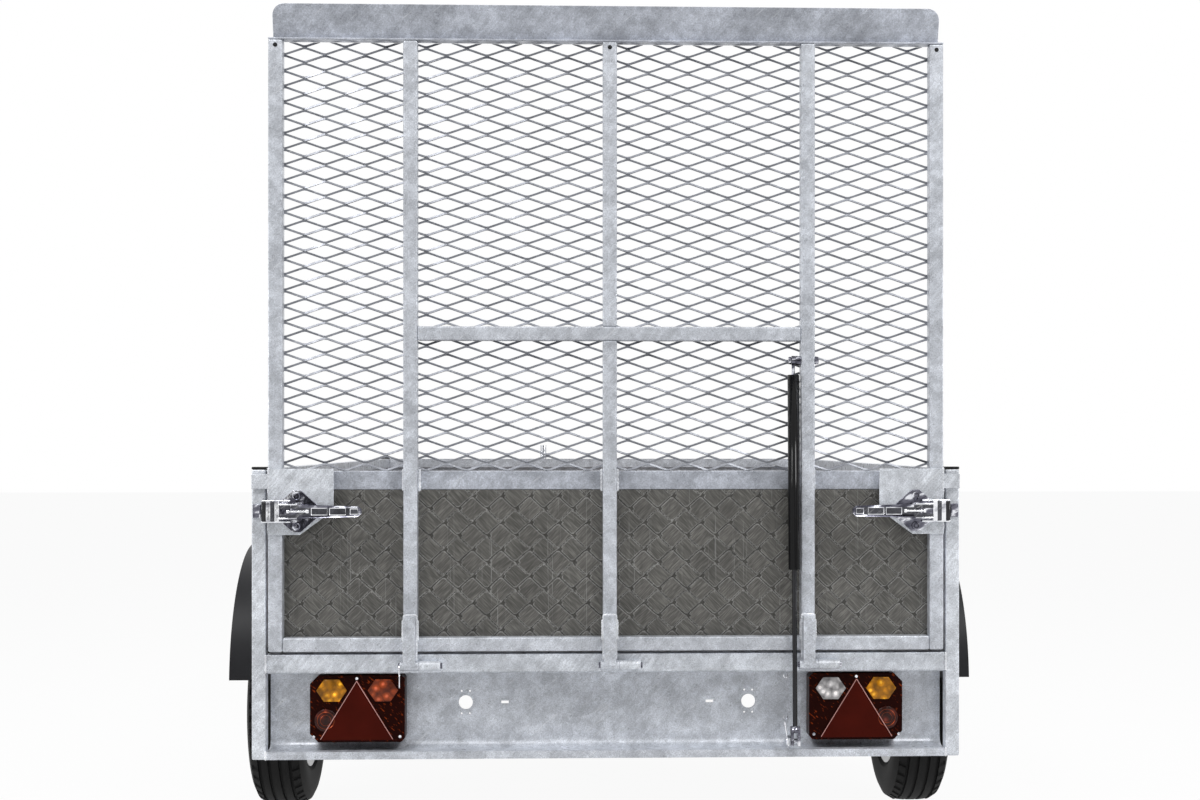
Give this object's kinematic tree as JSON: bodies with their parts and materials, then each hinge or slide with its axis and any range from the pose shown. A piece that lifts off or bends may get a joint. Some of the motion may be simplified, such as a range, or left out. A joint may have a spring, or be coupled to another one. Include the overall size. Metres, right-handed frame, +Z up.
{
  "type": "utility trailer",
  "caption": "Single-axle galvanised utility trailer with a tall expanded-mesh ramp at the rear, on a gas strut, low sides, mudguards, drawbar and jockey wheel.",
  "frame": {"origin": "on the ground, under the middle of the trailer's overall length and width", "axes": "+X right seen from behind, +Y forward along the drawbar, +Z up"},
  "size_m": [1.904, 3.7224, 1.917],
  "materials": {
    "galvanised": "hot-dip galvanised, mottled grey",
    "mesh_steel": "galvanised expanded mesh, darker grey",
    "tread_plate": "dull five-bar tread plate",
    "bright_zinc": "bright zinc plate",
    "strut_steel": "dark polished rod",
    "black_enamel": "satin black paint",
    "rim_silver": "silver paint",
    "black_plastic": "moulded black plastic",
    "mudguard_plastic": "satin moulded black plastic",
    "tyre_rubber": "tyre rubber",
    "solid_rubber": "solid rubber",
    "floor_board": "brown film-faced plywood",
    "lamp_red": "dark red lamp body",
    "reflector": "red triangular reflector",
    "amber_lens": "amber lens",
    "red_lens": "red lens",
    "clear_lens": "clear lens"
  },
  "bodies": {
    "chassis": {"amber_lenses": "amber_lens", "axle_beam": "galvanised", "clear_lens": "clear_lens", "corner_posts": "galvanised", "coupling_head": "black_enamel", "coupling_lever": "black_enamel", "cross_members": "galvanised", "floor": "floor_board", "headboard": "galvanised", "hinge_pins": "bright_zinc", "hinge_sleeves": "galvanised", "jack_clamp": "galvanised", "jack_crank": "bright_zinc", "jack_tube": "bright_zinc", "lamp_housings": "lamp_red", "lamp_reflectors": "reflector", "latch_keepers": "bright_zinc", "left_drawbar": "galvanised", "left_mudguard": "mudguard_plastic", "left_side": "galvanised", "light_board": "galvanised", "mudguard_stays": "galvanised", "nose_tube": "galvanised", "post_caps": "black_plastic", "rear_beam": "galvanised", "red_lenses": "red_lens", "right_drawbar": "galvanised", "right_mudguard": "mudguard_plastic", "right_side": "galvanised", "side_beams": "galvanised", "side_uprights": "galvanised", "strut_bracket": "galvanised", "suspension_arms": "galvanised", "top_rails": "galvanised"},
    "left_wheel": {"left_tyre": "tyre_rubber", "left_rim": "rim_silver"},
    "right_wheel": {"right_tyre": "tyre_rubber", "right_rim": "rim_silver"},
    "ramp": {"ramp_side_tubes": "galvanised", "ramp_cross_tubes": "galvanised", "ramp_bars": "galvanised", "ramp_rail": "galvanised", "tread_plate": "tread_plate", "toe_plate": "galvanised", "mesh_panel": "mesh_steel", "corner_plates": "galvanised", "latch_bases": "bright_zinc", "latch_levers": "bright_zinc", "latch_loops": "bright_zinc", "hinge_arms": "galvanised", "strut_stud": "bright_zinc"},
    "strut_cylinder": {"strut_cylinder": "black_enamel"},
    "strut_rod": {"strut_rod": "strut_steel"},
    "jack_leg": {"jack_inner_tube": "bright_zinc"},
    "jack_swivel": {"jack_fork": "bright_zinc"},
    "jack_wheel": {"jack_tyre": "solid_rubber", "jack_rim": "rim_silver"}
  },
  "joints": [
    {"name": "left_wheel_spin", "type": "hinge", "parent": "chassis", "child": "left_wheel", "pos_m": [-0.8545, -0.676, 0.281], "axis": [1, 0, 0], "continuous": true},
    {"name": "right_wheel_spin", "type": "hinge", "parent": "chassis", "child": "right_wheel", "pos_m": [0.8545, -0.676, 0.281], "axis": [1, 0, 0], "continuous": true},
    {"name": "ramp_hinge", "type": "hinge", "parent": "chassis", "child": "ramp", "pos_m": [0, -1.8385, 0.522], "axis": [1, 0, 0], "range_deg": [0, 111.5]},
    {"name": "strut_pivot", "type": "hinge", "parent": "ramp", "child": "strut_cylinder", "pos_m": [0.3945, -1.818, 1.166], "axis": [-1, 0, 0], "range_deg": [0, 13.8]},
    {"name": "strut_slide", "type": "slide", "parent": "strut_cylinder", "child": "strut_rod", "axis": [0, 0.041, 0.9992], "range_m": [0, 0.2085]},
    {"name": "jack_slide", "type": "slide", "parent": "chassis", "child": "jack_leg", "axis": [0, 0, 1], "range_m": [-0.08, 0.16]},
    {"name": "jack_turn", "type": "hinge", "parent": "jack_leg", "child": "jack_swivel", "pos_m": [-0.084, 1.599, 0.239], "axis": [0, 0, 1], "continuous": true},
    {"name": "jack_wheel_spin", "type": "hinge", "parent": "jack_swivel", "child": "jack_wheel", "pos_m": [-0.084, 1.571, 0.1], "axis": [1, 0, 0], "continuous": true}
  ],
  "couplings": [
    {"joint": "strut_pivot", "follows": "ramp_hinge", "ratio": 0.12264},
    {"joint": "strut_slide", "follows": "ramp_hinge", "m_per_rad": 0.10676}
  ]
}
